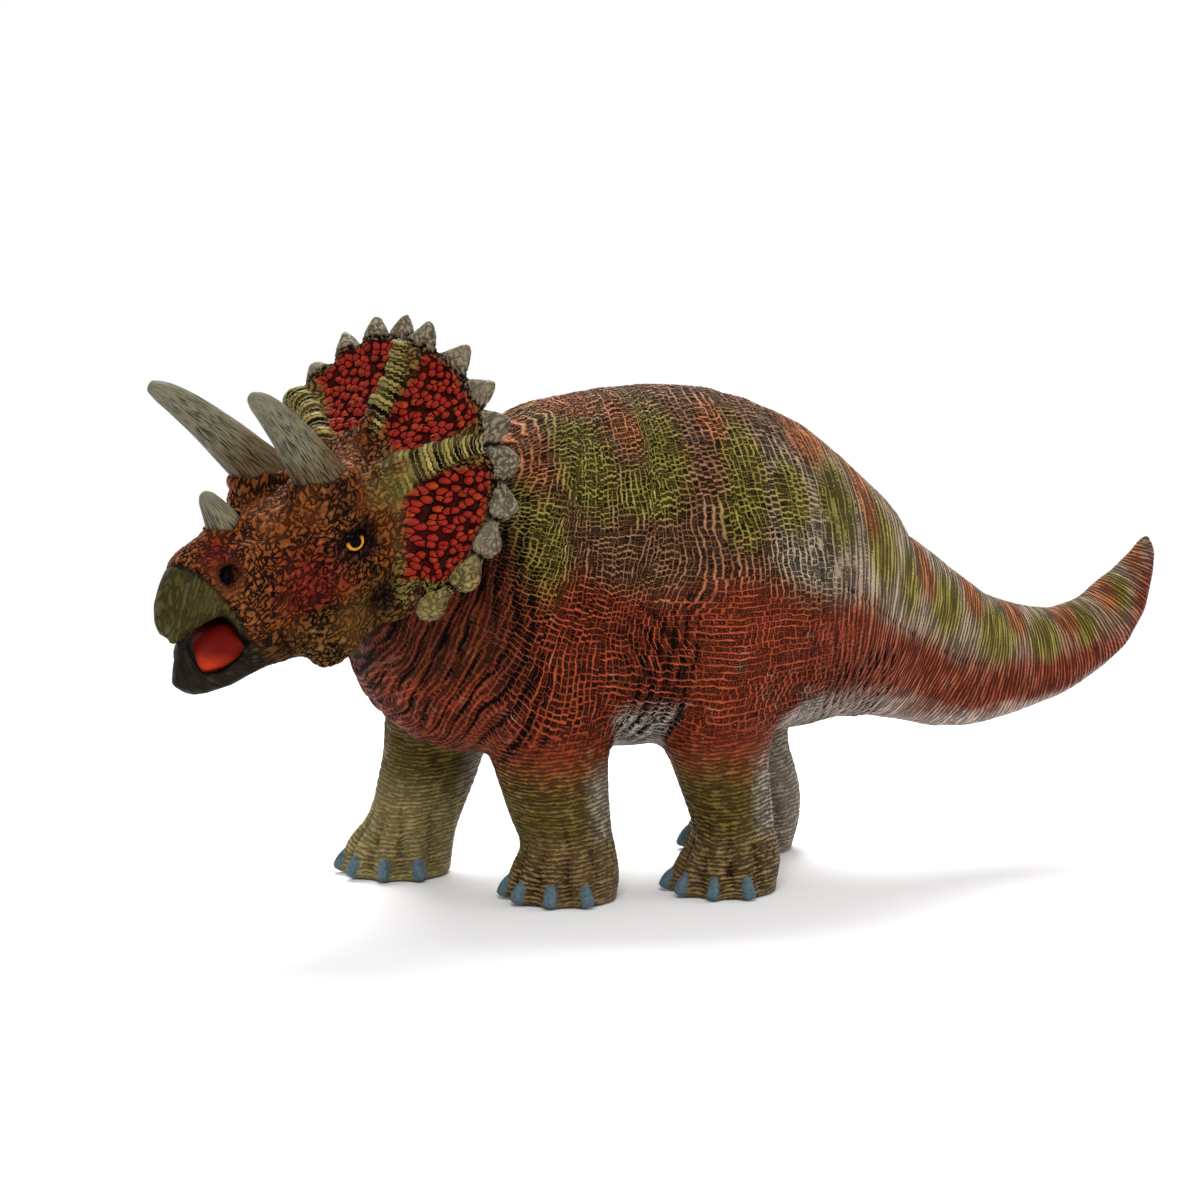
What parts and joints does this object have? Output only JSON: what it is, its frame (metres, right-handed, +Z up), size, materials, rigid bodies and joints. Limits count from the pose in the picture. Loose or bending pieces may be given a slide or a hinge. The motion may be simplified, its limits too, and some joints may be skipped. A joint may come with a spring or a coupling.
{
  "type": "toy dinosaur figure",
  "caption": "Walking three-horned toy dinosaur with a scalloped neck frill, open beak and raised tail, standing on four flat soles.",
  "frame": {"origin": "middle of the bounding box, on the plane of the four soles", "axes": "+Z up, the animal walks towards -X, its left side faces -Y"},
  "size_m": [0.18, 0.0556, 0.0922],
  "materials": {
    "body_skin": "soft PVC, hand-painted rust red with olive and orange patches, dark washed wrinkles",
    "leg_skin": "soft PVC, hand-painted olive to tan, blue-grey claws",
    "head_skin": "soft PVC, hand-painted brown and orange-red, red frill fields, grey-taupe rim scales",
    "jaw_skin": "soft PVC, hand-painted ochre-brown with a dark grey beak",
    "horn": "soft PVC, hand-painted grey-taupe with lengthwise grooves",
    "tongue": "soft PVC, satin red-orange paint",
    "eye": "gloss black paint with a yellow-orange ring"
  },
  "bodies": {
    "root": {"torso": "body_skin", "tail": "body_skin", "front_leg_left": "leg_skin", "front_leg_right": "leg_skin", "hind_leg_left": "leg_skin", "hind_leg_right": "leg_skin", "head": "head_skin", "lower_jaw": "jaw_skin", "brow_horn_left": "horn", "brow_horn_right": "horn", "nose_horn": "horn", "tongue": "tongue", "eye_left": "eye", "eye_right": "eye"}
  },
  "joints": []
}
